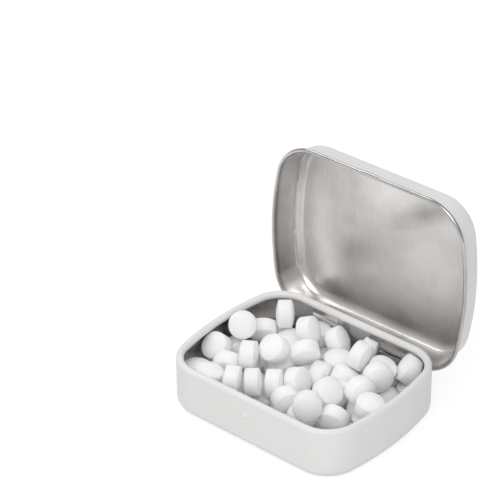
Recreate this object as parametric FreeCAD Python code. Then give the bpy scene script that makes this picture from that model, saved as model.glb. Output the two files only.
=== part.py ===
# Small hinged mint tin: a drawn base pan, a drawn lid on two strap hinges, and the mints inside.
# Millimetres. +Z is up, +Y is the hinge side, the origin is the centre of the base's underside.
import FreeCAD
import Part
import math
import os
import random

# Tinplate
SHEET = 0.23

# Base pan
BASE_WIDTH = 58.3
BASE_DEPTH = 45.5
BASE_HEIGHT = 14.6
CORNER_RADIUS = 10.0
SIDE_BOW_RADIUS = 80.0
HEEL_RADIUS = 3.0
RIM_ROLL_RADIUS = 0.98
RIM_ROLL_TURN = 300.0

# Catch pip on the front wall of the base
PIP_HEIGHT = 9.5
PIP_RADIUS = 0.95
PIP_REACH = 0.45

# Lid, measured when closed
LID_CLEARANCE = 0.87
EDGE_ABOVE_PIN = 0.88
LID_SKIRT = 6.0
LID_SKIRT_DRAFT = 7.0
LID_SHOULDER_RADIUS = 2.75
HEM_RADIUS = 0.5
HEM_TURN = 300.0
LIFT_BUMP_WIDTH = 6.0
LIFT_BUMP_REACH = 0.2
OPEN_ANGLE = 92.0

# Strap hinges
HINGE_HEIGHT = 8.97
HINGE_SPACING = 22.0
STRAP_WIDTH = 7.8
STRAP_SIDE_GAP = 0.3
STRAP_START = 110.0
STRAP_WRAP = 230.0
PIN_RADIUS = 0.28
PIN_RUNNING_GAP = 0.05
PIN_ROOT = 0.7
WINDOW_ABOVE_PIN = 1.5
WINDOW_BELOW_PIN = 1.6
HOOD_HEIGHT = 1.9
HOOD_LEAN = 9.0
LIP_RADIUS = 0.28
STOP_GAP = 0.03

# Mints
MINT_DIAMETER = 7.3
MINT_THICKNESS = 4.85
MINT_DOME = 0.75
MINT_GAP = 0.06
HEADROOM = 2.04
LOWER_GAP = 1.3
LOWER_HEIGHT = 3.0
LOWER_LEAN = 9.0
LOWER_SEED = 4

# Settling of the heap: rounds of a small step down, with the seen mints first held to their places
HELD_ROUNDS = 200
LOOSE_ROUNDS = 20
CLEARING_ROUNDS = 400
SINK_STEP = 0.03
HOLD = 0.2
TOUCH = 0.002
SPREAD_COUNT = 160
LEVEL_STEP = 10
SLANT_STEP = 15

# A seen mint's place is sure only along this line of sight, given per millimetre of height
SIGHT_LINE = FreeCAD.Vector(0.97, -1.12, 1.0)

# Seen mints: the centre's place as shares of the pan's half width, half depth and height, the lean of
# the face from level, and the heading of that lean from +X
SEEN_MINTS = [
    (-0.92, 0.24, 0.68, 60, -50), (-0.94, -0.29, 0.65, 45, -95), (-0.83, -0.72, 0.68, 0, 0),
    (-0.70, -0.48, 0.68, 65, 120), (-0.85, -0.10, 0.58, 30, -160), (-0.51, -0.26, 0.65, 85, 35),
    (-0.68, 0.02, 0.62, 90, 30), (-0.74, 0.46, 0.62, 60, 130), (-0.72, 0.79, 0.68, 90, 40),
    (-0.39, 0.75, 0.68, 70, 20), (-0.46, 0.53, 0.58, 10, -105), (-0.13, 0.31, 0.68, 65, 140),
    (-0.50, 0.19, 0.62, 45, -100), (-0.29, 0.00, 0.65, 15, -20), (0.00, -0.14, 0.68, 70, 10),
    (0.06, 0.19, 0.62, 85, -170), (0.09, 0.46, 0.62, 0, 0), (-0.28, -0.53, 0.68, 85, 35),
    (-0.44, -0.60, 0.68, 85, -150), (-0.61, -0.77, 0.72, 10, 50), (-0.31, -0.79, 0.65, 55, 130),
    (-0.06, -0.72, 0.72, 40, 30), (-0.11, -0.41, 0.68, 85, 30), (0.18, -0.60, 0.72, 80, 150),
    (0.40, -0.43, 0.75, 75, -50), (0.48, -0.72, 0.72, 25, 35), (0.66, -0.53, 0.72, 75, 105),
    (0.37, -0.02, 0.68, 50, 0), (0.28, 0.41, 0.55, 30, 60), (0.57, 0.14, 0.68, 90, -20),
    (0.55, -0.17, 0.62, 85, 180), (0.77, -0.02, 0.72, 10, 10), (0.86, -0.29, 0.72, 15, -140),
    (0.70, -0.24, 0.62, 80, 20), (0.53, 0.55, 0.68, 85, -35), (0.45, 0.74, 0.50, 25, 5),
    (0.24, 0.70, 0.65, 80, -175), (0.20, 1.03, 0.55, 70, -160), (0.70, 0.75, 0.65, 75, -175),
    (0.76, 0.86, 0.82, 55, -140), (0.79, 0.31, 0.68, 60, 175), (-0.33, 1.03, 0.58, 0, 0),
    (-0.06, 0.82, 0.68, 60, 25),
]

# Worked out from the sizes above
HALF_WIDTH = BASE_WIDTH / 2
HALF_DEPTH = BASE_DEPTH / 2
CORNER_Y = HALF_DEPTH - CORNER_RADIUS
SIDE_X = HALF_WIDTH - SIDE_BOW_RADIUS
CORNER_X = SIDE_X + math.sqrt((SIDE_BOW_RADIUS - CORNER_RADIUS) ** 2 - CORNER_Y ** 2)
SIDE_ANGLE = math.degrees(math.atan2(CORNER_Y, CORNER_X - SIDE_X))
HEM_OFFSET = LID_CLEARANCE + HEM_RADIUS
HEM_HEIGHT = HINGE_HEIGHT + EDGE_ABOVE_PIN + HEM_RADIUS
DRAFT_SINE = math.sin(math.radians(LID_SKIRT_DRAFT))
DRAFT_COSINE = math.cos(math.radians(LID_SKIRT_DRAFT))
HEM_BEND = HEM_RADIUS - SHEET / 2
SHOULDER_BEND = LID_SHOULDER_RADIUS - SHEET / 2
SKIRT_RISE = LID_SKIRT * DRAFT_COSINE - HEM_BEND * DRAFT_SINE
LID_UNDERSIDE = HEM_HEIGHT + SKIRT_RISE + SHOULDER_BEND * (1 - DRAFT_SINE) - SHEET / 2
HINGE_Y = HALF_DEPTH - SHEET / 2
HINGE_CENTRES = (-HINGE_SPACING / 2, HINGE_SPACING / 2)
WINDOW_WIDTH = STRAP_WIDTH + 2 * STRAP_SIDE_GAP
KNUCKLE_DEPTH = HALF_DEPTH - HINGE_Y + PIN_RADIUS + PIN_RUNNING_GAP + SHEET
WINDOW_TOP = HINGE_HEIGHT + WINDOW_ABOVE_PIN
WINDOW_BOTTOM = HINGE_HEIGHT - WINDOW_BELOW_PIN
MINT_RADIUS = MINT_DIAMETER / 2
DOME_RADIUS = (MINT_RADIUS ** 2 + MINT_DOME ** 2) / (2 * MINT_DOME)
LONGEST_REACH = math.hypot(MINT_DIAMETER, MINT_THICKNESS) / 2
RIM_INSIDE = 2 * RIM_ROLL_RADIUS
PAN_HALF_WIDTH = HALF_WIDTH - RIM_INSIDE
PAN_HALF_DEPTH = HALF_DEPTH - RIM_INSIDE
HEAP_TOP = LID_UNDERSIDE - HEADROOM
LOWER_PITCH = MINT_DIAMETER + LOWER_GAP

ORIGIN = FreeCAD.Vector(0, 0, 0)
ALONG_X = FreeCAD.Vector(1, 0, 0)
ALONG_Y = FreeCAD.Vector(0, 1, 0)
UP = FreeCAD.Vector(0, 0, 1)


def polar(radius, angle):
    """Returns the point at a radius and an angle in degrees."""
    return radius * math.cos(math.radians(angle)), radius * math.sin(math.radians(angle))


def middle_line(start, heading, runs):
    """Returns the stops of a bent sheet's middle line, run by run, each with its place and course.

    A run is (length, None) for a straight or (bend radius, turn) for an arc, left turns positive.
    """
    x, z = start
    line = []
    for size, turn in runs:
        if turn is None:
            dx, dz = polar(size, heading)
            stops = [(x, z, heading), (x + dx, z + dz, heading)]
        else:
            side = math.copysign(90, turn)
            centre_x, centre_z = polar(size, heading + side)
            stops = []
            for share in (0.0, 0.5, 1.0):
                dx, dz = polar(size, heading - side + turn * share)
                stops.append((x + centre_x + dx, z + centre_z + dz, heading + turn * share))
        line.append(stops)
        x, z, heading = stops[-1]
    return line


def beside(stop, offset):
    """Returns the point at an offset to the left of a stop on a middle line."""
    x, z, course = stop
    dx, dz = polar(offset, course + 90)
    return FreeCAD.Vector(x + dx, 0, z + dz)


def sheet_section(start, heading, runs):
    """Returns a bent sheet's section as a face in the XZ plane."""
    line = middle_line(start, heading, runs)
    faces = (SHEET / 2, -SHEET / 2)
    edges = []
    for offset in faces:
        for stops in line:
            points = [beside(stop, offset) for stop in stops]
            edges.append(Part.LineSegment(*points) if len(points) == 2 else Part.Arc(*points))
    for end in (line[0][0], line[-1][-1]):
        edges.append(Part.LineSegment(*[beside(end, offset) for offset in faces]))
    return Part.Face(Part.Wire(Part.__sortEdges__([edge.toShape() for edge in edges])))


def four_ways(quarter):
    """Returns the shapes of one quarter of the footprint and their mirrored copies."""
    half = quarter + [shape.mirror(ORIGIN, ALONG_X) for shape in quarter]
    return half + [shape.mirror(ORIGIN, ALONG_Y) for shape in half]


def around_footprint(section):
    """Returns the ring that a section makes round the base's outline, with x = 0 on that outline."""
    straight = section.copy()
    straight.rotate(ORIGIN, UP, 90)
    straight.translate(FreeCAD.Vector(CORNER_X, HALF_DEPTH, 0))
    corner = section.copy()
    corner.translate(FreeCAD.Vector(CORNER_RADIUS, 0, 0))
    corner.rotate(ORIGIN, UP, SIDE_ANGLE)
    corner.translate(FreeCAD.Vector(CORNER_X, CORNER_Y, 0))
    side = section.copy()
    side.translate(FreeCAD.Vector(HALF_WIDTH, 0, 0))
    pieces = four_ways([
        straight.extrude(FreeCAD.Vector(-CORNER_X, 0, 0)),
        corner.revolve(FreeCAD.Vector(CORNER_X, CORNER_Y, 0), UP, 90 - SIDE_ANGLE),
        side.revolve(FreeCAD.Vector(SIDE_X, 0, 0), UP, SIDE_ANGLE),
    ])
    return pieces[0].fuse(pieces[1:]).removeSplitter()


def footprint_plate(offset, bottom):
    """Returns a flat plate of sheet thickness inside the outline moved out by an offset."""
    arcs = (
        (SIDE_X, 0, SIDE_BOW_RADIUS + offset, 0, SIDE_ANGLE),
        (CORNER_X, CORNER_Y, CORNER_RADIUS + offset, SIDE_ANGLE, 90),
    )
    quarter = []
    for centre_x, centre_y, radius, first, last in arcs:
        points = []
        for turn in (first, (first + last) / 2, last):
            dx, dy = polar(radius, turn)
            points.append(FreeCAD.Vector(centre_x + dx, centre_y + dy, bottom))
        quarter.append(Part.Arc(*points).toShape())
    middle = FreeCAD.Vector(0, HALF_DEPTH + offset, bottom)
    quarter.append(Part.LineSegment(points[-1], middle).toShape())
    outline = Part.Wire(Part.__sortEdges__(four_ways(quarter)))
    return Part.Face(outline).extrude(UP * SHEET)


def rear_strip(section, centre, width):
    """Returns a section on the rear outline drawn out along X to a width about a centre."""
    strip = section.copy()
    strip.rotate(ORIGIN, UP, 90)
    strip.translate(FreeCAD.Vector(centre - width / 2, HALF_DEPTH, 0))
    return strip.extrude(ALONG_X * width)


def rear_rod(centre, width, radius, y, z):
    """Returns a round bar along X about a centre."""
    return Part.makeCylinder(radius, width, FreeCAD.Vector(centre - width / 2, y, z), ALONG_X)


def base_shell():
    """Returns the base pan with its rolled rim, hinge windows and catch pip."""
    wall = BASE_HEIGHT - RIM_ROLL_RADIUS - HEEL_RADIUS
    runs = [
        (HEEL_RADIUS - SHEET / 2, 90),
        (wall, None),
        (RIM_ROLL_RADIUS - SHEET / 2, RIM_ROLL_TURN),
    ]
    pan = around_footprint(sheet_section((-HEEL_RADIUS, SHEET / 2), 0, runs))
    pan = pan.fuse(footprint_plate(-HEEL_RADIUS, 0))
    for centre in HINGE_CENTRES:
        pan = with_hinge_window(pan, centre)
    return with_pip(pan).removeSplitter()


def with_hinge_window(pan, centre):
    """Cuts one window in the rear wall, with its leaning hood, its pin and its turned-out lower lip."""
    hood_top = WINDOW_TOP + HOOD_HEIGHT
    corner = FreeCAD.Vector(centre - WINDOW_WIDTH / 2, HALF_DEPTH - 2 * SHEET, WINDOW_BOTTOM)
    window = Part.makeBox(WINDOW_WIDTH, 3 * SHEET, hood_top - WINDOW_BOTTOM, corner)
    hood_runs = [(SHEET, None), (SHEET, -HOOD_LEAN), (HOOD_HEIGHT - SHEET, None)]
    hood = sheet_section((-SHEET / 2, hood_top + SHEET / 2), -90, hood_runs)
    lip_width = WINDOW_WIDTH + 2 * SHEET
    lip_flange = sheet_section((-SHEET / 2, WINDOW_BOTTOM), 0, [(stop_lip_y() - HINGE_Y, None)])
    fittings = [
        rear_strip(hood, centre, WINDOW_WIDTH),
        rear_rod(centre, WINDOW_WIDTH + 2 * PIN_ROOT, PIN_RADIUS, HINGE_Y, HINGE_HEIGHT),
        rear_strip(lip_flange, centre, lip_width),
        rear_rod(centre, lip_width, LIP_RADIUS, stop_lip_y(), WINDOW_BOTTOM),
    ]
    return pan.cut(window).fuse(fittings)


def stop_lip_y():
    """Returns the lip's place at which the open strap's knuckle meets it, with the stop gap left."""
    reach_y = HALF_DEPTH + HEM_OFFSET - HINGE_Y
    reach_z = HEM_HEIGHT - HINGE_HEIGHT
    turn = math.radians(OPEN_ANGLE)
    knuckle_y = HINGE_Y + reach_y * math.cos(turn) + reach_z * math.sin(turn)
    knuckle_z = HINGE_HEIGHT - reach_y * math.sin(turn) + reach_z * math.cos(turn)
    touch = HEM_RADIUS + SHEET + LIP_RADIUS + STOP_GAP
    return knuckle_y - math.sqrt(touch ** 2 - (WINDOW_BOTTOM - knuckle_z) ** 2)


def with_pip(pan):
    """Presses the catch pip out of the front wall, hollow behind."""
    ball = (PIP_RADIUS ** 2 + PIP_REACH ** 2) / (2 * PIP_REACH)
    middle = FreeCAD.Vector(0, ball - PIP_REACH - HALF_DEPTH, PIP_HEIGHT)
    corner = FreeCAD.Vector(-ball, -HALF_DEPTH - ball, PIP_HEIGHT - ball)
    outside = Part.makeBox(2 * ball, ball + SHEET / 2, 2 * ball, corner)
    cap = Part.makeSphere(ball, middle).common(outside)
    return pan.fuse(cap).cut(Part.makeSphere(ball - SHEET, middle))


def lid_shell():
    """Returns the lid at its open stop: panel, shoulder, skirt, hem, lift bump and hinge straps."""
    panel_edge = HEM_OFFSET - (HEM_BEND + SHOULDER_BEND) * DRAFT_COSINE - LID_SKIRT * DRAFT_SINE
    runs = [
        (SHOULDER_BEND, LID_SKIRT_DRAFT - 90),
        (LID_SKIRT, None),
        (HEM_BEND, HEM_TURN - LID_SKIRT_DRAFT),
    ]
    shell = around_footprint(sheet_section((panel_edge, LID_UNDERSIDE + SHEET / 2), 0, runs))
    pieces = [footprint_plate(panel_edge, LID_UNDERSIDE), lift_bump()]
    pieces += [rear_strip(strap_section(), centre, STRAP_WIDTH) for centre in HINGE_CENTRES]
    lid = shell.fuse(pieces).removeSplitter()
    lid.rotate(FreeCAD.Vector(0, HINGE_Y, HINGE_HEIGHT), ALONG_X, -OPEN_ANGLE)
    return lid


def lift_bump():
    """Returns the short outward bow of the hem at the middle of the lid's front edge."""
    bow = (LIFT_BUMP_WIDTH ** 2 / 4 + LIFT_BUMP_REACH ** 2) / (2 * LIFT_BUMP_REACH)
    half_turn = math.degrees(math.asin(LIFT_BUMP_WIDTH / 2 / bow))
    hem_y = -HALF_DEPTH - HEM_OFFSET - LIFT_BUMP_REACH
    ring = Part.makeCircle(HEM_RADIUS, FreeCAD.Vector(0, hem_y, HEM_HEIGHT), ALONG_X)
    disc = Part.Face(Part.Wire(ring))
    bow_axis = FreeCAD.Vector(0, hem_y + bow, 0)
    disc.rotate(bow_axis, UP, -half_turn)
    return disc.revolve(bow_axis, UP, 2 * half_turn)


def strap_section():
    """Returns a hinge strap's section: over the hem, down and in, then curled round the pin."""
    knuckle = HEM_RADIUS + SHEET / 2
    curl = PIN_RADIUS + PIN_RUNNING_GAP + SHEET / 2
    across = HEM_OFFSET + SHEET / 2
    rise = HEM_HEIGHT - HINGE_HEIGHT
    span = math.hypot(across, rise)
    lean = math.degrees(math.atan2(rise, across) - math.asin((knuckle + curl) / span))
    arm = math.sqrt(span ** 2 - (knuckle + curl) ** 2)
    start_x, start_z = polar(knuckle, STRAP_START)
    runs = [(knuckle, lean - STRAP_START - 90), (arm, None), (curl, STRAP_WRAP)]
    return sheet_section((HEM_OFFSET + start_x, HEM_HEIGHT + start_z), STRAP_START - 90, runs)


def outline_reach(turn):
    """Returns how far the base's outline reaches from the origin in a level direction."""
    across, back = (abs(share) for share in polar(1.0, turn))
    if math.degrees(math.atan2(back, across)) < SIDE_ANGLE:
        return SIDE_X * across + SIDE_BOW_RADIUS
    return CORNER_X * across + CORNER_Y * back + CORNER_RADIUS


def pan_sides():
    """Returns the pan's sides: for each level direction, the wall with its heel, and the rolled rim.

    Both are lists of a direction and the furthest that a mint may reach in it. A mint has to keep to all
    of the wall's limits, which leave room for the hinge knuckles, and to only one of the rim's, because
    it may lie inside the rim or below it.
    """
    rim_height = BASE_HEIGHT - RIM_ROLL_RADIUS
    sides = []
    for turn in range(0, 360, LEVEL_STEP):
        outline = outline_reach(turn)
        wall = []
        rim = []
        for slant in range(0, 90, SLANT_STEP):
            level, rise = polar(1.0, slant)
            x, y = polar(level, turn)
            heel = (outline - HEEL_RADIUS) * level - HEEL_RADIUS * rise + HEEL_RADIUS - KNUCKLE_DEPTH
            wall.append((FreeCAD.Vector(x, y, -rise), heel - MINT_GAP))
            roll = (outline - RIM_ROLL_RADIUS) * level + rim_height * rise - RIM_ROLL_RADIUS
            rim.append((FreeCAD.Vector(x, y, rise), roll - MINT_GAP))
        sides.append((wall, rim))
    return sides


def spread_directions():
    """Returns directions spread evenly over the upper half of a ball."""
    golden = 180 * (3 - math.sqrt(5))
    directions = []
    for number in range(SPREAD_COUNT):
        z = (number + 0.5) / SPREAD_COUNT
        x, y = polar(math.sqrt(1 - z ** 2), golden * number)
        directions.append(FreeCAD.Vector(x, y, z))
    return directions


SPREAD = spread_directions()
PAN_SIDES = pan_sides()


class Mint:
    """One mint: its centre, its axis, and how far it reaches from the centre in each direction."""

    def __init__(self, x, y, z, lean, heading):
        axis_x, axis_y = polar(math.sin(math.radians(lean)), heading)
        self.axis = FreeCAD.Vector(axis_x, axis_y, math.cos(math.radians(lean)))
        self.chosen = FreeCAD.Vector(x, y, z)
        self.centre = FreeCAD.Vector(x, y, z)
        self.spread_reach = [self.reach(direction) for direction in SPREAD]
        self.upright_reach = self.reach(UP)

    def reach(self, direction):
        """Returns how far the mint reaches from its centre in a direction."""
        along = abs(self.axis.dot(direction))
        across = math.sqrt(max(0.0, 1 - along ** 2))
        if across * DOME_RADIUS <= MINT_RADIUS:
            return DOME_RADIUS - (DOME_RADIUS - MINT_THICKNESS / 2) * along
        return MINT_RADIUS * across + (MINT_THICKNESS / 2 - MINT_DOME) * along

    def drift_to_sight_line(self):
        """Moves the mint a share of the way back to the line of sight through its chosen place."""
        rise = self.centre.z - self.chosen.z
        self.centre += (self.chosen + SIGHT_LINE * rise - self.centre) * HOLD

    def excess(self, limit):
        """Returns how far the mint reaches past a limit, given as a direction and a furthest reach."""
        direction, furthest = limit
        return self.centre.dot(direction) + self.reach(direction) - furthest

    def keep_in_pan(self):
        """Moves the mint clear of the floor, the walls and the rolled rim, and returns the worst overlap."""
        worst = 0.0
        for wall, rim in PAN_SIDES:
            direction, furthest = wall[0]
            if self.centre.dot(direction) + LONGEST_REACH + RIM_INSIDE < furthest:
                continue
            for limit in wall + [min(rim, key=self.excess)]:
                short = max(0.0, self.excess(limit))
                self.centre -= limit[0] * (short / 2)
                worst = max(worst, short)
        self.centre.z = max(self.centre.z, SHEET + MINT_GAP + self.upright_reach)
        return worst

    def solid(self):
        """Returns the mint's solid: a short barrel between two domed faces."""
        half = MINT_THICKNESS / 2
        solid = Part.makeCylinder(MINT_RADIUS, MINT_THICKNESS, UP * -half)
        for side in (half - DOME_RADIUS, DOME_RADIUS - half):
            solid = solid.common(Part.makeSphere(DOME_RADIUS, UP * side))
        solid.Placement = FreeCAD.Placement(self.centre, FreeCAD.Rotation(UP, self.axis))
        return solid


def push_apart(first, second):
    """Moves two mints apart along the direction in which they overlap least, and returns that overlap."""
    apart = second.centre - first.centre
    if apart.Length > 2 * LONGEST_REACH + MINT_GAP:
        return 0.0
    least = math.inf
    for direction, first_reach, second_reach in zip(SPREAD, first.spread_reach, second.spread_reach):
        along = apart.dot(direction)
        overlap = first_reach + second_reach + MINT_GAP - abs(along)
        if overlap <= 0:
            return 0.0
        if overlap < least:
            least = overlap
            push = direction * math.copysign(overlap / 2, along)
    first.centre -= push
    second.centre += push
    return least


def clear_overlaps(mints):
    """Pushes each pair of mints apart once, keeps all in the pan, and returns the worst overlap found."""
    worst = 0.0
    for number, first in enumerate(mints):
        for second in mints[number + 1:]:
            worst = max(worst, push_apart(first, second))
    for mint in mints:
        worst = max(worst, mint.keep_in_pan())
    return worst


def lower_mints():
    """Returns the bottom layer: near level mints in staggered rows."""
    chance = random.Random(LOWER_SEED)
    row_step = LOWER_PITCH * math.sin(math.radians(60))
    rows = int((2 * PAN_HALF_DEPTH - MINT_DIAMETER) / row_step)
    mints = []
    for row in range(rows + 1):
        y = (row - rows / 2) * row_step
        steps = int((2 * PAN_HALF_WIDTH - MINT_DIAMETER) / LOWER_PITCH - row % 2 / 2)
        for step in range(steps + 1):
            x = (step - steps / 2) * LOWER_PITCH
            mints.append(Mint(x, y, LOWER_HEIGHT, chance.uniform(0, LOWER_LEAN), chance.uniform(0, 360)))
    return mints


def seen_mints():
    """Returns the top layer, each mint at the place chosen for it."""
    mints = []
    for across, back, up, lean, heading in SEEN_MINTS:
        mints.append(Mint(across * PAN_HALF_WIDTH, back * PAN_HALF_DEPTH, up * BASE_HEIGHT, lean, heading))
    return mints


def settle(lower, seen):
    """Lets the heap sink into the pan, then clears what still overlaps."""
    mints = lower + seen
    for turn in range(HELD_ROUNDS + LOOSE_ROUNDS):
        for mint in mints:
            mint.centre.z = min(mint.centre.z - SINK_STEP, HEAP_TOP - mint.upright_reach)
        if turn < HELD_ROUNDS:
            for mint in seen:
                mint.drift_to_sight_line()
        clear_overlaps(mints)
    for turn in range(CLEARING_ROUNDS):
        if clear_overlaps(mints) < TOUCH:
            break


def main():
    """Builds every piece and writes one file for each."""
    os.makedirs("parts", exist_ok=True)
    base_shell().exportStep("parts/base_shell.step")
    lid_shell().exportStep("parts/lid_shell.step")
    lower = lower_mints()
    seen = seen_mints()
    settle(lower, seen)
    Part.makeCompound([mint.solid() for mint in lower]).exportStep("parts/lower_mints.step")
    for number, mint in enumerate(seen, 1):
        mint.solid().exportStep("parts/mint_%02d.step" % number)


main()
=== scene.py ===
"""Looks of a small hinged tin of mints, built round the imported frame.

Metres. +Z is up, +Y is the hinge side, and the origin is the centre of the base's underside.
"""
import logging
import math
from dataclasses import dataclass
from enum import Enum
from typing import Callable, Sequence

import bpy
import numpy as np
from mathutils import Matrix, Vector


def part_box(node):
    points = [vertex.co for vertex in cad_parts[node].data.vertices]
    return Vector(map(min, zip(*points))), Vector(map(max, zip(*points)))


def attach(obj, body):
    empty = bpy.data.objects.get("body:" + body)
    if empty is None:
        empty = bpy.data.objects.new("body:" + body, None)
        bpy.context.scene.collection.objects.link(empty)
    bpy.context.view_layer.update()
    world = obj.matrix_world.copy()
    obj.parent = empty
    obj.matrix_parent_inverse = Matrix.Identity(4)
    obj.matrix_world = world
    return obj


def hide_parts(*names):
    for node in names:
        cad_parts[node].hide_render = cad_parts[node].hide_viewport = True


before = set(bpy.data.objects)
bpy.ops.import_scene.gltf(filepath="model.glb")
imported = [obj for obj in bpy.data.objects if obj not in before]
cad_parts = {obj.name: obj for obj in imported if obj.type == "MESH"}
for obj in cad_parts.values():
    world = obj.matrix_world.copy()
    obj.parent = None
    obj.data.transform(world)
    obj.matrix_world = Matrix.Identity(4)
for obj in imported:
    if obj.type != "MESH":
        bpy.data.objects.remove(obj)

LOG = logging.getLogger("mint_tin")
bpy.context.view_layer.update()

Triple = tuple[float, float, float]
Socket = bpy.types.NodeSocket

ORIGIN = (0.0, 0.0, 0.0)
UP = (0.0, 0.0, 1.0)
# Edges that turn by more than this stay sharp.
SMOOTH_ANGLE = math.radians(35)
# Points that are closer than this are one point.
WELD_DISTANCE = 1e-6
# Most degrees of a bend that one facet of a sheet takes.
BEND_STEP = 6.0
# Cosines from which two directions count as parallel, and below which as square to each other.
PARALLEL = 0.99
SQUARE = 0.1
# Y of the open lid's panel at its middle.
PANEL_Y = 0.033


class Body(Enum):
    """Bodies of the frame that pieces ride on."""

    BASE = "base"
    LID = "lid"


class Slot(Enum):
    """Material slots of the record."""

    COAT = "white_coat"
    MINT = "mint"


class Pick(Enum):
    """Kinds of mesh element that can be selected."""

    EDGE = "EDGE"
    FACE = "FACE"


class Axis(Enum):
    """Axes that a mesh is turned about."""

    X = "X"
    Z = "Z"


class Sum(Enum):
    """What a Math node works out from its inputs."""

    ADD = "ADD"
    TAKE_AWAY = "SUBTRACT"
    MULTIPLY_ADD = "MULTIPLY_ADD"
    LARGER = "MAXIMUM"


class SheetLine:
    """Middle line of a bent sheet in section: x is outwards from the pan's outline, and z is up."""

    def __init__(self, x: float, z: float, heading: float) -> None:
        """Starts the line.

        Args:
            x: Distance of the first point outside the outline.
            z: Height of the first point.
            heading: Course in degrees, 0 outwards and 90 up.
        """
        self.points = [(x, z)]
        self.heading = heading

    def run(self, length: float) -> "SheetLine":
        """Adds a straight.

        Args:
            length: Length of the straight.

        Returns:
            The line itself.
        """
        x, z = self.points[-1]
        course = math.radians(self.heading)
        self.points.append((x + length * math.cos(course), z + length * math.sin(course)))
        return self

    def bend(self, radius: float, turn: float) -> "SheetLine":
        """Adds an arc.

        Args:
            radius: Radius of the middle line.
            turn: Turn in degrees, left turns positive.

        Returns:
            The line itself.
        """
        x, z = self.points[-1]
        side = math.copysign(90.0, turn)
        to_centre = math.radians(self.heading + side)
        centre_x = x + radius * math.cos(to_centre)
        centre_z = z + radius * math.sin(to_centre)
        steps = max(2, math.ceil(abs(turn) / BEND_STEP))
        for step in range(1, steps + 1):
            spoke = math.radians(self.heading - side + turn * step / steps)
            self.points.append((centre_x + radius * math.cos(spoke), centre_z + radius * math.sin(spoke)))
        self.heading += turn
        return self


def clear_selection() -> None:
    """Deselects every object, so that the next primitive is selected alone."""
    bpy.ops.object.select_all(action="DESELECT")


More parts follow.
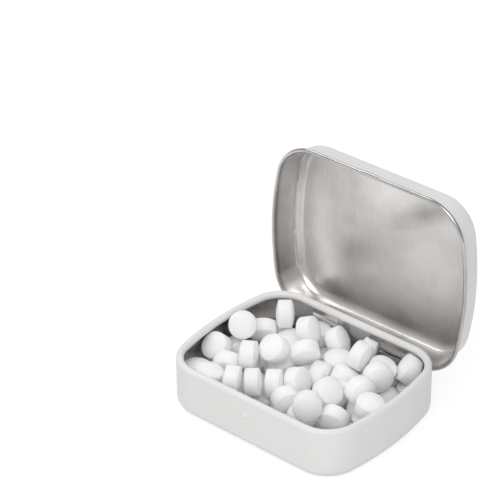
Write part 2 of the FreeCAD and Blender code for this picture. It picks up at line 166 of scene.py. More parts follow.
class Workpiece:
    """A mesh that is shaped in edit mode by modelling operators."""

    def __init__(self, name: str) -> None:
        """Takes the primitive that was just added, puts its place into its mesh and enters edit mode.

        Args:
            name: Name of the object and of its mesh.
        """
        self.object = bpy.context.object
        self.object.name = name
        self.object.data.name = name
        bpy.ops.object.transform_apply(location=True, rotation=True, scale=True)
        bpy.ops.object.mode_set(mode="EDIT")

    @classmethod
    def from_point(cls, name: str) -> "Workpiece":
        """Starts from one vertex at the origin.

        Args:
            name: Name of the object and of its mesh.

        Returns:
            The workpiece.
        """
        clear_selection()
        bpy.ops.mesh.primitive_plane_add(size=1.0)
        piece = cls(name)
        bpy.ops.mesh.select_mode(type="VERT")
        piece.select_all()
        bpy.ops.mesh.merge(type="CENTER")
        return piece

    def select_all(self) -> None:
        """Selects the whole mesh."""
        bpy.ops.mesh.select_all(action="SELECT")

    def pick(self, kind: Pick, test: Callable[[Vector, Vector], bool]) -> None:
        """Selects the edges or faces that pass a test.

        Args:
            kind: Edges or faces.
            test: Is given a middle point and, for a face, its normal or, for an edge, its direction.
        """
        bpy.ops.mesh.select_mode(type=kind.value)
        bpy.ops.mesh.select_all(action="DESELECT")
        bpy.ops.object.mode_set(mode="OBJECT")
        mesh = self.object.data
        if kind is Pick.FACE:
            for face in mesh.polygons:
                face.select = test(face.center, face.normal)
        else:
            for edge in mesh.edges:
                first, second = (mesh.vertices[index].co for index in edge.vertices)
                edge.select = test((first + second) / 2, (second - first).normalized())
        bpy.ops.object.mode_set(mode="EDIT")

    def draw(self, points: Sequence[Vector]) -> None:
        """Draws a chain of edges by extruding the one vertex from point to point, and selects it all.

        Args:
            points: Points of the chain, in order.
        """
        self.select_all()
        bpy.ops.transform.translate(value=points[0])
        for start, end in zip(points, points[1:]):
            self.draw_out(end - start)
        self.select_all()

    def draw_out(self, offset: Sequence[float]) -> None:
        """Extrudes what is selected by an offset."""
        bpy.ops.mesh.extrude_region_move(TRANSFORM_OT_translate={"value": offset})

    def turn_about(self, centre: Triple, axis: Triple, turn: float, steps: int) -> None:
        """Spins what is selected.

        Args:
            centre: Point on the axis.
            axis: Direction of the axis.
            turn: Right-handed turn in degrees.
            steps: Number of steps.
        """
        bpy.ops.mesh.spin(steps=steps, angle=-math.radians(turn), center=centre, axis=axis)

    def rotate(self, centre: Triple, axis: Axis, turn: float) -> None:
        """Turns the whole mesh.

        Args:
            centre: Point on the axis.
            axis: Direction of the axis.
            turn: Right-handed turn in degrees.
        """
        self.select_all()
        bpy.ops.transform.rotate(value=-math.radians(turn), orient_axis=axis.value, center_override=centre)

    def cut(self, place: Triple, normal: Triple, cap: bool = False) -> None:
        """Cuts what is selected along a plane.

        Args:
            place: Point on the plane.
            normal: Normal of the plane.
            cap: Whether what lies past the plane is dropped and the cut is closed.
        """
        bpy.ops.mesh.bisect(plane_co=place, plane_no=normal, use_fill=cap, clear_outer=cap,
                            threshold=WELD_DISTANCE)

    def drop_faces(self) -> None:
        """Deletes the selected faces."""
        bpy.ops.mesh.delete(type="FACE")

    def fill(self) -> None:
        """Fills the selected loop of edges with one face."""
        bpy.ops.mesh.edge_face_add()

    def weld(self) -> None:
        """Merges what lies in one place and turns all faces the same way."""
        self.select_all()
        bpy.ops.mesh.remove_doubles(threshold=WELD_DISTANCE)
        bpy.ops.mesh.normals_make_consistent(inside=False)

    def face_the_way(self, test: Callable[[Vector, Vector], bool], way: Triple) -> None:
        """Flips all faces if those that pass a test look away from a direction.

        Args:
            test: Is given a face's middle and normal.
            way: Direction in which these faces should look.
        """
        bpy.ops.object.mode_set(mode="OBJECT")
        faces = [face for face in self.object.data.polygons if test(face.center, face.normal)]
        lean = sum(face.normal.dot(way) * face.area for face in faces)
        bpy.ops.object.mode_set(mode="EDIT")
        if lean < 0:
            self.select_all()
            bpy.ops.mesh.flip_normals()

    def done(self, *materials: bpy.types.Material, sheet: float = 0.0) -> bpy.types.Object:
        """Leaves edit mode, gives the mesh its materials, a sheet its thickness, and smooth shading.

        Args:
            materials: Material of the outside and, for a sheet, of the inside and the cut edges.
            sheet: Thickness to give to both sides of a middle surface, or 0 for a closed mesh.

        Returns:
            The finished object, at the origin with its place in its mesh.
        """
        bpy.ops.object.mode_set(mode="OBJECT")
        clear_selection()
        self.object.select_set(True)
        bpy.context.view_layer.objects.active = self.object
        for material in materials:
            self.object.data.materials.append(material)
        if sheet:
            wall = self.object.modifiers.new("sheet", "SOLIDIFY")
            wall.thickness = sheet
            wall.offset = 0.0
            wall.use_even_offset = True
            wall.use_quality_normals = True
            wall.material_offset = 1
            wall.material_offset_rim = 1
            bpy.ops.object.modifier_apply(modifier=wall.name)
        bpy.ops.object.shade_smooth_by_angle(angle=SMOOTH_ANGLE)
        return self.object


@dataclass(frozen=True)
class Footprint:
    """Outline of the pan from above: straight front and rear, bowed ends and round corners."""

    width: float = 0.0583
    depth: float = 0.0455
    corner_radius: float = 0.010
    end_bow_radius: float = 0.080
    corner_steps: int = 18
    end_steps: int = 10

    @property
    def rear(self) -> float:
        """Y of the rear outline."""
        return self.depth / 2

    @property
    def corner_y(self) -> float:
        """Y of the corners' centres."""
        return self.depth / 2 - self.corner_radius

    @property
    def end_x(self) -> float:
        """X of the right end's bow centre."""
        return self.width / 2 - self.end_bow_radius

    @property
    def corner_x(self) -> float:
        """X of the corners' centres."""
        return self.end_x + math.sqrt((self.end_bow_radius - self.corner_radius) ** 2 - self.corner_y ** 2)

    @property
    def end_angle(self) -> float:
        """Half the turn of an end's bow, in degrees."""
        return math.degrees(math.atan2(self.corner_y, self.corner_x - self.end_x))

    def sweep(self, piece: Workpiece, line: SheetLine) -> None:
        """Draws a section on the rear outline and sweeps it once round the footprint.

        Args:
            piece: An empty workpiece.
            line: The section.
        """
        piece.draw([Vector((self.corner_x, self.rear + x, z)) for x, z in line.points])
        corner_turn = 90.0 - self.end_angle
        for side in (-1.0, 1.0):
            piece.draw_out((side * 2 * self.corner_x, 0.0, 0.0))
            near = (side * self.corner_x, -side * self.corner_y, 0.0)
            piece.turn_about(near, UP, corner_turn, self.corner_steps)
            piece.turn_about((side * self.end_x, 0.0, 0.0), UP, 2 * self.end_angle, self.end_steps)
            far = (side * self.corner_x, side * self.corner_y, 0.0)
            piece.turn_about(far, UP, corner_turn, self.corner_steps)
        piece.weld()


def grey(level: float) -> tuple[float, float, float, float]:
    """Returns an even grey."""
    return level, level, level, 1.0


class Nodes:
    """Adds and links the nodes of one node tree."""

    def __init__(self, tree: bpy.types.NodeTree) -> None:
        """Keeps the tree."""
        self.tree = tree

    def add(self, kind: str, inputs: dict | None = None, **settings) -> bpy.types.Node:
        """Adds a node.

        Args:
            kind: Type of the node.
            inputs: Values or sockets for its inputs, by name or number.
            settings: Properties of the node.

        Returns:
            The node.
        """
        node = self.tree.nodes.new(kind)
        for name, value in settings.items():
            setattr(node, name, value)
        for key, value in (inputs or {}).items():
            if isinstance(value, Socket):
                self.tree.links.new(value, node.inputs[key])
            else:
                node.inputs[key].default_value = value
        return node

    def compute(self, kind: Sum, *values: Socket | float) -> Socket:
        """Returns what a Math node works out from its inputs."""
        return self.add("ShaderNodeMath", dict(enumerate(values)), operation=kind.value).outputs[0]

    def noise(self, place: Socket, scale: Socket | float, detail: float, roughness: float = 0.5) -> Socket:
        """Returns soft noise.

        Args:
            place: Coordinates.
            scale: Number of its features in a unit of the coordinates.
            detail: Layers of finer noise.
            roughness: Weight of the finer layers.

        Returns:
            Values of about 0 to 1.
        """
        inputs = {"Vector": place, "Scale": scale, "Detail": detail, "Roughness": roughness}
        return self.add("ShaderNodeTexNoise", inputs).outputs["Fac"]

    def fade(self, value: Socket, start: Socket | float, end: Socket | float) -> Socket:
        """Returns a mask that goes softly from 0 at one value to 1 at another."""
        inputs = {"Value": value, "From Min": start, "From Max": end}
        return self.add("ShaderNodeMapRange", inputs, interpolation_type="SMOOTHSTEP").outputs["Result"]

    def ramp(self, value: Socket, low: float, high: float) -> Socket:
        """Returns a value of 0 to 1 spread over a range."""
        inputs = {"Value": value, "To Min": low, "To Max": high}
        return self.add("ShaderNodeMapRange", inputs, clamp=False).outputs["Result"]

    def blend(self, share: Socket, first: Triple, second: Triple) -> Socket:
        """Returns a colour between two others.

        Args:
            share: Share of the second colour, 0 to 1.
            first: Colour at 0.
            second: Colour at 1.

        Returns:
            The colour.
        """
        node = self.add("ShaderNodeMix", {"Factor": share}, data_type="RGBA")
        colours = {socket.name: socket for socket in node.inputs if socket.type == "RGBA"}
        colours["A"].default_value = (*first, 1.0)
        colours["B"].default_value = (*second, 1.0)
        return next(socket for socket in node.outputs if socket.type == "RGBA")


class EffectGroup(Nodes):
    """A shader node group that finishes place with their own values."""

    def __init__(self, name: str, output: str, **numbers: float) -> None:
        """Makes a group with an input named Place, number inputs and one output.

        Args:
            name: Name of the group.
            output: Name of its output.
            numbers: Default values of the number inputs, by name.
        """
        super().__init__(bpy.data.node_groups.new(name, "ShaderNodeTree"))
        sockets = self.tree.interface
        sockets.new_socket("Place", in_out="INPUT", socket_type="NodeSocketVector")
        for number, value in numbers.items():
            sockets.new_socket(number, in_out="INPUT", socket_type="NodeSocketFloat").default_value = value
        sockets.new_socket(output, in_out="OUTPUT", socket_type="NodeSocketFloat")
        self.output = output
        self.given = self.add("NodeGroupInput").outputs

    def put_out(self, value: Socket) -> bpy.types.NodeTree:
        """Links a value to the output and returns the finished group."""
        self.add("NodeGroupOutput", {self.output: value})
        return self.tree


def mottle_group() -> bpy.types.NodeTree:
    """Makes the group for soft blotches.

    Returns:
        The group, which puts out a mask of 0 to 1.
    """
    group = EffectGroup("soft_mottle", "Mask", Scale=100.0, Edge=0.2)
    noise_middle = 0.5
    noise = group.noise(group.given["Place"], group.given["Scale"], detail=3.0)
    start = group.compute(Sum.TAKE_AWAY, noise_middle, group.given["Edge"])
    end = group.compute(Sum.ADD, noise_middle, group.given["Edge"])
    return group.put_out(group.fade(noise, start, end))


def grain_group() -> bpy.types.NodeTree:
    """Returns the group for the fine rolling grain of tinplate: streaks along one direction."""
    group = EffectGroup("rolling_grain", "Streaks", Scale=3000.0)
    return group.put_out(group.noise(group.given["Place"], group.given["Scale"], detail=4.0, roughness=0.6))


def soft_area_group() -> bpy.types.NodeTree:
    """Makes the group for one soft-edged area round the origin of the given place, which lays painted shade
    and light on tinplate and marks its rougher panel.

    Returns:
        The group, which puts out a mask of 0 to 1.
    """
    group = EffectGroup("soft_area_mask", "Mask", Ragged=0.5)
    length = group.add("ShaderNodeVectorMath", {0: group.given["Place"]}, operation="LENGTH")
    noise = group.noise(group.given["Place"], scale=2.5, detail=3.0)
    ragged = group.compute(Sum.MULTIPLY_ADD, noise, group.given["Ragged"], length.outputs["Value"])
    return group.put_out(group.fade(ragged, start=1.2, end=0.2))


@dataclass(frozen=True)
class Effects:
    """The node groups that the finishes share."""

    mottle: bpy.types.NodeTree
    grain: bpy.types.NodeTree
    soft_area: bpy.types.NodeTree


@dataclass(frozen=True)
class Patch:
    """A soft-edged area: its middle, its half lengths and its turns about X, Y and Z in degrees."""

    centre: Triple
    size: Triple
    turn: Triple = (0.0, 0.0, 0.0)


@dataclass(frozen=True)
class PaintedTone(Patch):
    """Painted shade or light on tinplate: a soft mark that darkens it by its depth, or lightens it where
    that is below 0.
    """

    depth: float = 1.0


def panel_painted_tone(x: float, z: float, width: float, height: float, depth: float, lean: float = 0.0,
                 reach: float = 0.005) -> PaintedTone:
    """Returns a mark of painted shade or light on the inside of the open lid's panel.

    Args:
        x: Place along the lid.
        z: Height.
        width: Half its width.
        height: Half its height.
        depth: How much it darkens.
        lean: Its turn in the panel, in degrees.
        reach: How far it reaches before and behind the panel.

    Returns:
        The smudge.
    """
    return PaintedTone((x, PANEL_Y, z), (width, reach, height), (0.0, lean, 0.0), depth)


class Finish:
    """Base of the finishes: a material with one Principled shader and the piece's own coordinates."""

    name = "finish"

    def __init__(self, effects: Effects) -> None:
        """Builds the material.

        Args:
            effects: The shared node groups.
        """
        self.effects = effects
        self.material = bpy.data.materials.new(self.name)
        self.material.use_nodes = True
        self.nodes = Nodes(self.material.node_tree)
        self.shader = self.material.node_tree.nodes["Principled BSDF"]
        self.place = self.nodes.add("ShaderNodeTexCoord").outputs["Object"]
        self.build()

    def build(self) -> None:
        """Builds the nodes of the finish."""

    def set(self, **values) -> None:
        """Sets plain values on the shader's own sockets, with _ for a space."""
        for key, value in values.items():
            self.shader.inputs[key.replace("_", " ")].default_value = value

    def feed(self, socket: str, source: Socket) -> None:
        """Links a varying source to one of the shader's sockets."""
        self.material.node_tree.links.new(source, self.shader.inputs[socket])

    def effect(self, group: bpy.types.NodeTree, place: Socket, **numbers: float) -> Socket:
        """Places a shared group with its own values, and returns its output."""
        return self.nodes.add("ShaderNodeGroup", {"Place": place, **numbers}, node_tree=group).outputs[0]

    def blotches(self, scale: float, edge: float) -> Socket:
        """Returns a mask of soft blotches."""
        return self.effect(self.effects.mottle, self.place, Scale=scale, Edge=edge)

    def streaks(self, scale: float, squeeze: Triple) -> Socket:
        """Returns rolling grain, squeezed along each axis by a factor."""
        squeezed = self.nodes.add("ShaderNodeMapping", {"Vector": self.place, "Scale": squeeze})
        return self.effect(self.effects.grain, squeezed.outputs["Vector"], Scale=scale)

    def mask(self, patch: Patch) -> Socket:
        """Works out where a soft-edged area lies.

        Args:
            patch: The area.

        Returns:
            A mask of 0 to 1.
        """
        turn = tuple(math.radians(angle) for angle in patch.turn)
        inputs = {"Vector": self.place, "Location": patch.centre, "Rotation": turn, "Scale": patch.size}
        local = self.nodes.add("ShaderNodeMapping", inputs, vector_type="TEXTURE")
        return self.effect(self.effects.soft_area, local.outputs["Vector"])

    def bump(self, height: Socket, strength: float, distance: float, before: Socket | None = None) -> Socket:
        """Bends the normal by a height.

        Args:
            height: Height of 0 to 1.
            strength: Strength of the effect.
            distance: Depth that a height of 1 stands for.
            before: A normal that is bent already.

        Returns:
            The normal.
        """
        inputs = {"Height": height, "Strength": strength, "Distance": distance}
        if before is not None:
            inputs["Normal"] = before
        return self.nodes.add("ShaderNodeBump", inputs).outputs["Normal"]


class WhiteCoat(Finish):
    """Satin white enamel on the outside of the tin."""

    name = "white_enamel"
    shade = (0.79, 0.785, 0.775)
    light = (0.81, 0.805, 0.80)
    roughness = (0.36, 0.46)

    def build(self) -> None:
        """Builds a nearly even white with a faint orange peel."""
        clouds = self.blotches(scale=90.0, edge=0.25)
        self.feed("Base Color", self.nodes.blend(clouds, self.shade, self.light))
        self.feed("Roughness", self.nodes.ramp(self.blotches(scale=350.0, edge=0.3), *self.roughness))
        peel = self.blotches(scale=2200.0, edge=0.5)
        self.feed("Normal", self.bump(peel, strength=0.08, distance=0.00002))
        self.set(Specular_IOR_Level=0.4)


class Tinplate(Finish):
    """Bare bright tinplate on the inside of the lid, with painted shade, reflections and a highlight where
    they fall on the open lid.
    """

    name = "bare_tinplate"
    dark = (0.22, 0.205, 0.20)
    light = (0.93, 0.915, 0.905)
    tone_range = (0.68, 1.0)
    grain_weight = 0.8
    painted_darkening = 0.0
    polish = (0.14, 0.24)
    panel = Patch((0.0, PANEL_Y, 0.033), (0.2, 0.003, 0.2), (-2.0, 0.0, 0.0))
    panel_roughness = 0.16
    painted_tones = (
        # Painted shade and darker reflections on the panel: across the upper right, across the middle, and
        # along the bottom.
        panel_painted_tone(0.0125, 0.0455, 0.018, 0.0050, depth=1.5, lean=-31.0),
        panel_painted_tone(-0.0100, 0.0265, 0.016, 0.0060, depth=0.5, lean=-31.0),
        panel_painted_tone(-0.0155, 0.0125, 0.009, 0.0060, depth=1.2, lean=12.0),
        panel_painted_tone(0.0060, 0.0112, 0.011, 0.0036, depth=0.5),
        panel_painted_tone(0.0225, 0.0115, 0.006, 0.0040, depth=0.6),
        # Painted shade dimming the upper left of the panel, where the white floor is reflected.
        panel_painted_tone(-0.0180, 0.0420, 0.026, 0.0300, depth=1.4, reach=0.006),
        # Painted lighter reflections on the lower right of the panel.
        panel_painted_tone(0.0090, 0.0180, 0.022, 0.0050, depth=-0.7),
        panel_painted_tone(0.0170, 0.0300, 0.016, 0.0140, depth=-0.6),
        panel_painted_tone(-0.0030, 0.0140, 0.009, 0.0050, depth=-1.2),
        panel_painted_tone(0.0150, 0.0150, 0.010, 0.0030, depth=-1.2),
        # A painted highlight along the left shoulder.
        PaintedTone((-0.0285, 0.0315, 0.0310), (0.0022, 0.004, 0.0260), depth=-1.2),
        # Painted shade on the lower skirt and on its left corner, where it hides a highlight, and a darker
        # hem all round.
        PaintedTone((0.0, 0.0270, 0.0080), (0.060, 0.006, 0.0028), depth=2.6),
        PaintedTone((-0.0245, 0.0285, 0.0100), (0.004, 0.003, 0.0030), depth=2.4),
        PaintedTone((0.0, 0.02485, 0.033), (0.2, 0.0014, 0.2), (-2.0, 0.0, 0.0), depth=1.7),
    )

    def build(self) -> None:
        """Builds a grey metal with upright grain, soft cloudiness, painted shade and light, and a duller,
        rougher panel.
        """
        clouds = self.blotches(scale=60.0, edge=0.3)
        streaks = self.streaks(scale=2600.0, squeeze=(1.0, 1.0, 0.08))
        tone = self.nodes.compute(Sum.MULTIPLY_ADD, streaks, self.grain_weight, clouds)
        # Takes away the grain's mean and, on a shaded copy, its painted shade.
        tone = self.nodes.compute(Sum.TAKE_AWAY, tone, self.grain_weight / 2 + self.painted_darkening)
        # Each mark of painted shade darkens, and each of painted light lightens, where it lies.
        for soft_area in self.painted_tones:
            tone = self.nodes.compute(Sum.MULTIPLY_ADD, self.mask(soft_area), -soft_area.depth, tone)
        share = self.nodes.ramp(tone, *self.tone_range)
        self.feed("Base Color", self.nodes.blend(share, self.dark, self.light))
        polish = self.nodes.ramp(streaks, *self.polish)
        panel = self.mask(self.panel)
        self.feed("Roughness", self.nodes.compute(Sum.MULTIPLY_ADD, panel, self.panel_roughness, polish))
        self.feed("Normal", self.bump(streaks, strength=0.10, distance=0.00002))
        self.set(Metallic=1.0)


class ShadedTinplate(Tinplate):
    """Tinplate darkened all over by painted shade, on the inside of the base and on the hinges, with more
    painted shade at the base's left end.
    """

    name = "shaded_tinplate"
    painted_darkening = 0.9
    painted_tones = (
        # Painted shade on the inside of the base's left end.
        PaintedTone((-0.0275, 0.006, 0.0115), (0.008, 0.028, 0.0090), depth=2.2),
    )


class MintSugar(Finish):
    """Pressed, chalky sugar of the mints."""

    name = "pressed_mint"
    shade = (0.982, 0.980, 0.973)
    light = (0.994, 0.993, 0.987)
    roughness = (0.78, 0.92)

    def build(self) -> None:
        """Builds a matte white that light enters a little, with fine pressed grains."""
        clouds = self.blotches(scale=260.0, edge=0.3)
        self.feed("Base Color", self.nodes.blend(clouds, self.shade, self.light))
        self.feed("Roughness", self.nodes.ramp(clouds, *self.roughness))
        grains = self.bump(self.blotches(scale=4500.0, edge=0.5), strength=0.25, distance=0.00003)
        dents = self.blotches(scale=900.0, edge=0.4)
        self.feed("Normal", self.bump(dents, strength=0.25, distance=0.00004, before=grains))
        self.set(Specular_IOR_Level=0.25, Subsurface_Weight=1.0, Subsurface_Scale=0.003,
                 Subsurface_Radius=(1.0, 1.0, 1.0))


@dataclass
class Finishes:
    """The materials that the pieces wear."""

    coat: bpy.types.Material
    tinplate: bpy.types.Material
    # Tinplate with painted shade, for the base's inside and the hinges.
    shaded_tinplate: bpy.types.Material
    mint: bpy.types.Material

    @classmethod
    def make(cls) -> "Finishes":
        """Builds every material on the shared groups.

        Returns:
            The materials.
        """
        effects = Effects(mottle_group(), grain_group(), soft_area_group())
        kinds = (WhiteCoat, Tinplate, ShadedTinplate, MintSugar)
        return cls(*(kind(effects).material for kind in kinds))


def join_frame(piece: bpy.types.Object, body: Body) -> None:
    """Gives a piece the body that it rides on.

    Args:
        piece: The finished object.
        body: Body that carries it.
    """
    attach(piece, body.value)
    LOG.info("%s rides on %s", piece.name, body.value)


@dataclass
class Hinge:
    """Sizes that the base's windows and the lid's straps share."""

    height: float = 0.00897
    spacing: float = 0.022
    strap_width: float = 0.0078
    side_gap: float = 0.0003
    pin_radius: float = 0.00028
    running_gap: float = 0.00005
    pin_root: float = 0.0007

    @property
    def window_width(self) -> float:
        """Width of a window in the rear wall."""
        return self.strap_width + 2 * self.side_gap

    @property
    def centres(self) -> dict[str, float]:
        """X of the two hinges, by name."""
        return {"left": -self.spacing / 2, "right": self.spacing / 2}


@dataclass
class BasePan:
    """The drawn pan with its rolled rim, catch pip and hinge windows."""

    footprint: Footprint
    hinge: Hinge
    finishes: Finishes
    sheet: float = 0.00023
    height: float = 0.0146
    heel_radius: float = 0.003
    roll_radius: float = 0.00098
    roll_turn: float = 300.0
    pip_height: float = 0.0095
    pip_radius: float = 0.00095
    pip_reach: float = 0.00045
    pip_segments: int = 48
    pip_rings: int = 24
    window_above_pin: float = 0.0015
    window_below_pin: float = 0.0016
    hood_height: float = 0.0019
    hood_lean: float = 9.0
    lip_radius: float = 0.00028
    lip_out: float = 0.00017
    rod_sides: int = 32
    rod_end_steps: int = 3

    @property
    def hinge_y(self) -> float:
        """Y of the hinge pins, in the middle of the rear wall's sheet."""
        return self.footprint.rear - self.sheet / 2

    @property
    def window_bottom(self) -> float:
        """Height of the windows' lower edges."""
        return self.hinge.height - self.window_below_pin

    @property
    def hood_top(self) -> float:
        """Height at which the hoods leave the wall."""
        return self.hinge.height + self.window_above_pin + self.hood_height

    def build(self) -> None:
        """Builds and dresses every piece of the base."""
        shell = self.shell()
        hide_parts("base_shell")
        join_frame(shell, Body.BASE)
        join_frame(self.pip(), Body.BASE)
        for name, centre in self.hinge.centres.items():
            join_frame(self.hood(name, centre), Body.BASE)
            join_frame(self.pin(name, centre), Body.BASE)
            join_frame(self.lip(name, centre), Body.BASE)

    def shell(self) -> bpy.types.Object:
        """Sweeps heel, walls and rolled rim round the footprint, and closes the floor.

        Returns:
            The pan.
        """
        line = SheetLine(-self.heel_radius, self.sheet / 2, 0.0)
        line.bend(self.heel_radius - self.sheet / 2, 90.0)
        line.run(self.height - self.roll_radius - self.heel_radius)
        line.bend(self.roll_radius - self.sheet / 2, self.roll_turn)
        piece = Workpiece.from_point("base_pan")
        self.footprint.sweep(piece, line)
        self.open_windows(piece)
        floor = self.sheet / 2 + WELD_DISTANCE
        piece.pick(Pick.EDGE, lambda middle, way: middle.z < floor)
        piece.fill()
        piece.face_the_way(lambda middle, normal: middle.z < floor, (0.0, 0.0, -1.0))
        return piece.done(self.finishes.coat, self.finishes.shaded_tinplate, sheet=self.sheet)

    def open_windows(self, piece: Workpiece) -> None:
        """Cuts the two hinge windows out of the rear wall.

        Args:
            piece: The pan, in edit mode.
        """
        wall_y = self.footprint.rear - self.sheet
        half = self.hinge.window_width / 2
        centres = self.hinge.centres.values()

        def on_rear_wall(middle: Vector, normal: Vector) -> bool:
            """Returns whether a face is in the flat of the rear wall."""
            inside = self.heel_radius < middle.z < self.height - self.roll_radius
            return middle.y > wall_y and inside and abs(normal.y) > PARALLEL

        def in_window(middle: Vector, normal: Vector) -> bool:
            """Returns whether a face of the rear wall is in a window."""
            beside = min(abs(middle.x - centre) for centre in centres) < half
            return beside and self.window_bottom < middle.z < self.hood_top and on_rear_wall(middle, normal)

        sides = [centre + side * half for centre in centres for side in (-1, 1)]
        cuts = [((x, 0.0, 0.0), (1.0, 0.0, 0.0)) for x in sides]
        cuts += [((0.0, 0.0, z), UP) for z in (self.window_bottom, self.hood_top)]
        for place, normal in cuts:
            piece.pick(Pick.FACE, on_rear_wall)
            piece.cut(place, normal)
        piece.pick(Pick.FACE, in_window)
        piece.drop_faces()

    def pip(self) -> bpy.types.Object:
        """Makes the catch pip, a low cap pressed out of the front wall.

        Returns:
            The pip.
        """
        ball = (self.pip_radius ** 2 + self.pip_reach ** 2) / (2 * self.pip_reach)
        front = -self.footprint.rear
        place = (0.0, front - self.pip_reach + ball, self.pip_height)
        clear_selection()
        bpy.ops.mesh.primitive_uv_sphere_add(segments=self.pip_segments, ring_count=self.pip_rings,
                                             radius=ball, location=place)
        piece = Workpiece("catch_pip")
        piece.select_all()
        piece.cut((0.0, front + self.sheet / 2, 0.0), (0.0, 1.0, 0.0), cap=True)
        piece.weld()
        return piece.done(self.finishes.coat)

    def hood(self, name: str, centre: float) -> bpy.types.Object:
        """Makes the tongue above a window, which leans in from the wall.

        Args:
            name: Name of the window.
            centre: X of its middle.

        Returns:
            The tongue.
        """
        line = SheetLine(-self.sheet / 2, self.hood_top + self.sheet / 2, -90.0)
        line.run(self.sheet).bend(self.sheet, -self.hood_lean).run(self.hood_height - self.sheet)
        piece = self.strip("window_hood_" + name, line, centre, self.hinge.window_width)
        piece.face_the_way(lambda middle, normal: True, (0.0, 1.0, 0.0))
        return piece.done(self.finishes.coat, self.finishes.shaded_tinplate, sheet=self.sheet)

    def strip(self, name: str, line: SheetLine, centre: float, width: float) -> Workpiece:
        """Draws a section on the rear outline out along X.

        Args:
            name: Name of the piece.
            line: The section.
            centre: X of the strip's middle.
            width: Width of the strip.

        Returns:
            The strip, still in edit mode.
        """
        piece = Workpiece.from_point(name)
        piece.draw([Vector((centre - width / 2, self.footprint.rear + x, z)) for x, z in line.points])
        piece.draw_out((width, 0.0, 0.0))
        piece.weld()
        return piece

    def rod(self, name: str, width: float, radius: float, place: Triple) -> bpy.types.Object:
        """Makes a round bar along X with softened ends.

        Args:
            name: Name of the piece.
            width: Length of the bar.
            radius: Radius of the bar.
            place: Its middle.

        Returns:
            The bar.
        """
        clear_selection()
        bpy.ops.mesh.primitive_cylinder_add(vertices=self.rod_sides, radius=radius, depth=width,
                                            location=place, rotation=(0.0, math.pi / 2, 0.0))
        piece = Workpiece(name)
        piece.pick(Pick.EDGE, lambda middle, way: abs(way.x) < SQUARE)
        bpy.ops.mesh.bevel(offset=radius / 3, segments=self.rod_end_steps, affect="EDGES")
        return piece.done(self.finishes.shaded_tinplate)

    def pin(self, name: str, centre: float) -> bpy.types.Object:
        """Makes the bar across a window that the lid's strap curls round.

        Args:
            name: Name of the window.
            centre: X of its middle.

        Returns:
            The bar.
        """
        width = self.hinge.window_width + 2 * self.hinge.pin_root
        place = (centre, self.hinge_y, self.hinge.height)
        return self.rod("hinge_pin_" + name, width, self.hinge.pin_radius, place)

    def lip(self, name: str, centre: float) -> bpy.types.Object:
        """Makes the turned-out lower edge of a window, which stops the open lid.

        Args:
            name: Name of the window.
            centre: X of its middle.

        Returns:
            The lip.
        """
        width = self.hinge.window_width + 2 * self.sheet
        place = (centre, self.footprint.rear + self.lip_out, self.window_bottom)
        return self.rod("window_lip_" + name, width, self.lip_radius, place)


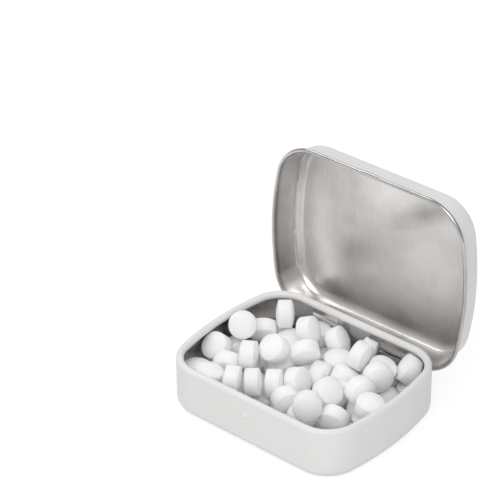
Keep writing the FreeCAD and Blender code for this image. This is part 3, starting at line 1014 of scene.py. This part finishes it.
@dataclass
class Lid:
    """The drawn lid with its drafted skirt, rolled hem, lift bump and hinge straps, at its open stop."""

    base: BasePan
    clearance: float = 0.00087
    edge_above_pin: float = 0.00088
    skirt: float = 0.006
    skirt_draft: float = 7.0
    shoulder_radius: float = 0.00275
    hem_radius: float = 0.0005
    hem_turn: float = 300.0
    bump_width: float = 0.006
    bump_reach: float = 0.0002
    bump_sides: int = 24
    bump_steps: int = 16
    strap_start: float = 110.0
    strap_wrap: float = 230.0
    open_angle: float = 92.0

    @property
    def hem_offset(self) -> float:
        """Distance of the hem's middle outside the base's outline."""
        return self.clearance + self.hem_radius

    @property
    def hem_height(self) -> float:
        """Height of the hem's middle when the lid is closed."""
        return self.base.hinge.height + self.edge_above_pin + self.hem_radius

    def build(self) -> None:
        """Builds and dresses every piece of the lid."""
        shell = self.shell()
        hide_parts("lid_shell")
        join_frame(shell, Body.LID)
        join_frame(self.lift_bump(), Body.LID)
        for name, centre in self.base.hinge.centres.items():
            join_frame(self.strap(name, centre), Body.LID)

    def swing_open(self, piece: Workpiece) -> None:
        """Turns a piece that was modelled closed to the open stop."""
        piece.rotate((0.0, self.base.hinge_y, self.base.hinge.height), Axis.X, -self.open_angle)

    def shell(self) -> bpy.types.Object:
        """Sweeps shoulder, drafted skirt and hem round the footprint, and closes the panel.

        Returns:
            The lid.
        """
        shoulder = self.shoulder_radius - self.base.sheet / 2
        hem = self.hem_radius - self.base.sheet / 2
        sine = math.sin(math.radians(self.skirt_draft))
        cosine = math.cos(math.radians(self.skirt_draft))
        panel_edge = self.hem_offset - (hem + shoulder) * cosine - self.skirt * sine
        panel_height = self.hem_height + self.skirt * cosine - hem * sine + shoulder * (1 - sine)
        line = SheetLine(panel_edge, panel_height, 0.0)
        line.bend(shoulder, self.skirt_draft - 90.0).run(self.skirt)
        line.bend(hem, self.hem_turn - self.skirt_draft)
        piece = Workpiece.from_point("lid_pan")
        self.base.footprint.sweep(piece, line)
        top = panel_height - WELD_DISTANCE
        piece.pick(Pick.EDGE, lambda middle, way: middle.z > top)
        piece.fill()
        piece.face_the_way(lambda middle, normal: middle.z > top, UP)
        self.swing_open(piece)
        return piece.done(self.base.finishes.coat, self.base.finishes.tinplate, sheet=self.base.sheet)

    def lift_bump(self) -> bpy.types.Object:
        """Bows a short length of hem outwards at the middle of the lid's front edge.

        Returns:
            The bump.
        """
        bow = (self.bump_width ** 2 / 4 + self.bump_reach ** 2) / (2 * self.bump_reach)
        half_turn = math.degrees(math.asin(self.bump_width / 2 / bow))
        hem_y = -self.base.footprint.rear - self.hem_offset - self.bump_reach
        bow_centre = (0.0, hem_y + bow, 0.0)
        clear_selection()
        bpy.ops.mesh.primitive_circle_add(vertices=self.bump_sides, radius=self.hem_radius, fill_type="NGON",
                                          location=(0.0, hem_y, self.hem_height),
                                          rotation=(0.0, math.pi / 2, 0.0))
        piece = Workpiece("lift_bump")
        piece.rotate(bow_centre, Axis.Z, -half_turn)
        piece.turn_about(bow_centre, UP, 2 * half_turn, self.bump_steps)
        piece.weld()
        self.swing_open(piece)
        return piece.done(self.base.finishes.tinplate)

    def strap(self, name: str, centre: float) -> bpy.types.Object:
        """Bends a hinge strap over the hem, down and in, and curls it round the pin.

        Args:
            name: Name of the hinge.
            centre: X of its middle.

        Returns:
            The strap.
        """
        hinge = self.base.hinge
        half_sheet = self.base.sheet / 2
        knuckle = self.hem_radius + half_sheet
        curl = hinge.pin_radius + hinge.running_gap + half_sheet
        across = self.hem_offset + half_sheet
        rise = self.hem_height - hinge.height
        span = math.hypot(across, rise)
        lean = math.degrees(math.atan2(rise, across) - math.asin((knuckle + curl) / span))
        start = math.radians(self.strap_start)
        line = SheetLine(self.hem_offset + knuckle * math.cos(start),
                         self.hem_height + knuckle * math.sin(start), self.strap_start - 90.0)
        line.bend(knuckle, lean - self.strap_start - 90.0)
        line.run(math.sqrt(span ** 2 - (knuckle + curl) ** 2)).bend(curl, self.strap_wrap)
        piece = self.base.strip("hinge_strap_" + name, line, centre, hinge.strap_width)
        self.swing_open(piece)
        return piece.done(self.base.finishes.shaded_tinplate, sheet=self.base.sheet)


@dataclass
class Mints:
    """The mints: one is modelled and copied to the place of each mint node of the frame."""

    finishes: Finishes
    diameter: float = 0.0073
    thickness: float = 0.00485
    dome: float = 0.00075
    dome_steps: int = 8
    edge_radius: float = 0.00036
    edge_angles: Triple = (60.0, 30.0, 0.0)
    turn_steps: int = 56

    def build(self) -> None:
        """Builds and dresses the seen mints, and dresses the mints below them."""
        pattern = self.pattern()
        for name in sorted(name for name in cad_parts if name.startswith("mint_")):
            piece = self.copy_to(pattern, name)
            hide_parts(name)
            join_frame(piece, Body.BASE)
        bpy.data.objects.remove(pattern)
        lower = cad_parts["lower_mints"]
        lower.data.materials.clear()
        lower.data.materials.append(self.finishes.mint)
        LOG.info("%s keeps its shape and wears %s", lower.name, self.finishes.mint.name)

    def pattern(self) -> bpy.types.Object:
        """Models one mint at the origin with its axis upright, by spinning half its profile.

        Returns:
            The mint.
        """
        radius = self.diameter / 2
        half = self.thickness / 2
        ball = (radius ** 2 + self.dome ** 2) / (2 * self.dome)
        shoulder = radius - self.edge_radius
        points = []
        for step in range(self.dome_steps + 1):
            x = shoulder * step / self.dome_steps
            points.append((x, half - ball + math.sqrt(ball ** 2 - x ** 2)))
        edge_z = half - self.dome - self.edge_radius / 2
        for angle in map(math.radians, self.edge_angles):
            x = shoulder + self.edge_radius * math.cos(angle)
            points.append((x, edge_z + self.edge_radius * math.sin(angle)))
        points += [(x, -z) for x, z in reversed(points)]
        piece = Workpiece.from_point("mint")
        piece.draw([Vector((x, 0.0, z)) for x, z in points])
        piece.turn_about(ORIGIN, UP, 360.0, self.turn_steps)
        piece.weld()
        return piece.done(self.finishes.mint)

    def copy_to(self, pattern: bpy.types.Object, node: str) -> bpy.types.Object:
        """Copies the modelled mint, with its own mesh, to the place of a node.

        Args:
            pattern: The modelled mint.
            node: Name of the node.

        Returns:
            The copy.
        """
        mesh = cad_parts[node].data
        points = np.empty(len(mesh.vertices) * 3)
        mesh.vertices.foreach_get("co", points)
        points = points.reshape(-1, 3)
        low, high = (np.array(corner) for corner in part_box(node))
        centre = (low + high) / 2
        # The mint's axis is the direction whose spread differs from that of the other two.
        spread, axes = np.linalg.eigh(np.cov((points - centre).T))
        axis = Vector(axes[:, int(np.argmax(np.abs(spread - np.median(spread))))])
        turn = Vector(UP).rotation_difference(axis)
        piece = bpy.data.objects.new(node.replace("mint_", "pressed_mint_"), pattern.data.copy())
        bpy.context.collection.objects.link(piece)
        piece.data.transform(Matrix.Translation(Vector(centre)) @ turn.to_matrix().to_4x4())
        return piece


@dataclass(frozen=True)
class Softbox:
    """A square soft lamp that looks at the object: its place, its side and its power in watts."""

    name: str
    place: Triple
    size: float
    power: float

    def hang(self) -> None:
        """Adds the lamp to the scene."""
        data = bpy.data.lights.new(self.name, "AREA")
        data.size = self.size
        data.energy = self.power
        lamp = bpy.data.objects.new(self.name, data)
        bpy.context.collection.objects.link(lamp)
        lamp.location = self.place
        lamp.rotation_euler = Vector(self.place).to_track_quat("Z", "Y").to_euler()


@dataclass
class Studio:
    """Camera, soft light and the white floor."""

    camera_place: Triple = (0.30138, -0.3688, 0.3435)
    right: Triple = (0.7600, 0.6499, -0.0084)
    down: Triple = (0.3387, -0.4070, -0.8483)
    forward: Triple = (-0.5547, 0.6419, -0.5294)
    lens: float = 166.78
    nearest: float = 0.01
    farthest: float = 20.0
    world_light: float = 0.50
    key: Softbox = Softbox("key_softbox", (0.25, -0.41, 0.58), size=0.50, power=2.6)
    top: Softbox = Softbox("top_softbox", (-0.41, 0.06, 0.62), size=0.40, power=1.2)
    floor_size: float = 6.0
    floor_height: float = -0.00002
    floor_white: float = 0.85
    floor_shade: float = 0.20
    floor_light: float = 0.8

    def build(self) -> None:
        """Builds the camera, the light and the floor."""
        self.camera()
        self.world()
        self.floor()
        self.key.hang()
        self.top.hang()
        bpy.context.scene.view_settings.view_transform = "Standard"

    def camera(self) -> None:
        """Puts the camera where the photograph was taken from."""
        data = bpy.data.cameras.new("camera")
        data.lens = self.lens
        data.clip_start = self.nearest
        data.clip_end = self.farthest
        camera = bpy.data.objects.new("camera", data)
        bpy.context.collection.objects.link(camera)
        columns = (Vector(self.right), -Vector(self.down), -Vector(self.forward))
        turn = Matrix(columns).transposed().to_4x4()
        camera.matrix_world = Matrix.Translation(self.camera_place) @ turn
        bpy.context.scene.camera = camera

    def world(self) -> None:
        """Makes even grey surroundings that fill the shadows."""
        world = bpy.data.worlds.new("studio")
        bpy.context.scene.world = world
        world.use_nodes = True
        world.node_tree.nodes.clear()
        nodes = Nodes(world.node_tree)
        light = nodes.add("ShaderNodeBackground", {"Color": grey(1.0), "Strength": self.world_light})
        nodes.add("ShaderNodeOutputWorld", {"Surface": light.outputs[0]})

    def shown_directly(self, nodes: Nodes) -> Socket:
        """Tells what the camera, a reflection or a refraction sees from what only light meets.

        Args:
            nodes: Nodes of the floor's material.

        Returns:
            1 for what is seen, and 0 for the rest.
        """
        path = nodes.add("ShaderNodeLightPath").outputs
        seen = nodes.compute(Sum.LARGER, path["Is Camera Ray"], path["Is Glossy Ray"])
        return nodes.compute(Sum.LARGER, seen, path["Is Transmission Ray"])

    def floor(self) -> None:
        """Lays the white floor, which keeps a faint shadow."""
        clear_selection()
        bpy.ops.mesh.primitive_plane_add(size=self.floor_size, location=(0.0, 0.0, self.floor_height))
        floor = bpy.context.object
        floor.name = "floor"
        material = bpy.data.materials.new("floor_white")
        material.use_nodes = True
        material.node_tree.nodes.clear()
        nodes = Nodes(material.node_tree)
        lit = nodes.add("ShaderNodeBsdfDiffuse", {"Color": grey(self.floor_white)})
        shaded = nodes.add("ShaderNodeBsdfDiffuse", {"Color": grey(self.floor_shade)})
        glow_strength = 1.0 - self.floor_light * self.floor_shade
        glow = nodes.add("ShaderNodeEmission", {"Color": grey(1.0), "Strength": glow_strength})
        shown = nodes.add("ShaderNodeAddShader", {0: shaded.outputs[0], 1: glow.outputs[0]})
        inputs = {0: self.shown_directly(nodes), 1: lit.outputs[0], 2: shown.outputs[0]}
        mix = nodes.add("ShaderNodeMixShader", inputs)
        nodes.add("ShaderNodeOutputMaterial", {"Surface": mix.outputs[0]})
        floor.data.materials.append(material)


def main() -> None:
    """Builds the tin, the mints and the studio."""
    logging.basicConfig(level=logging.INFO, format="%(message)s")
    finishes = Finishes.make()
    base = BasePan(Footprint(), Hinge(), finishes)
    base.build()
    Lid(base).build()
    Mints(finishes).build()
    Studio().build()


if __name__ == "__main__":
    main()
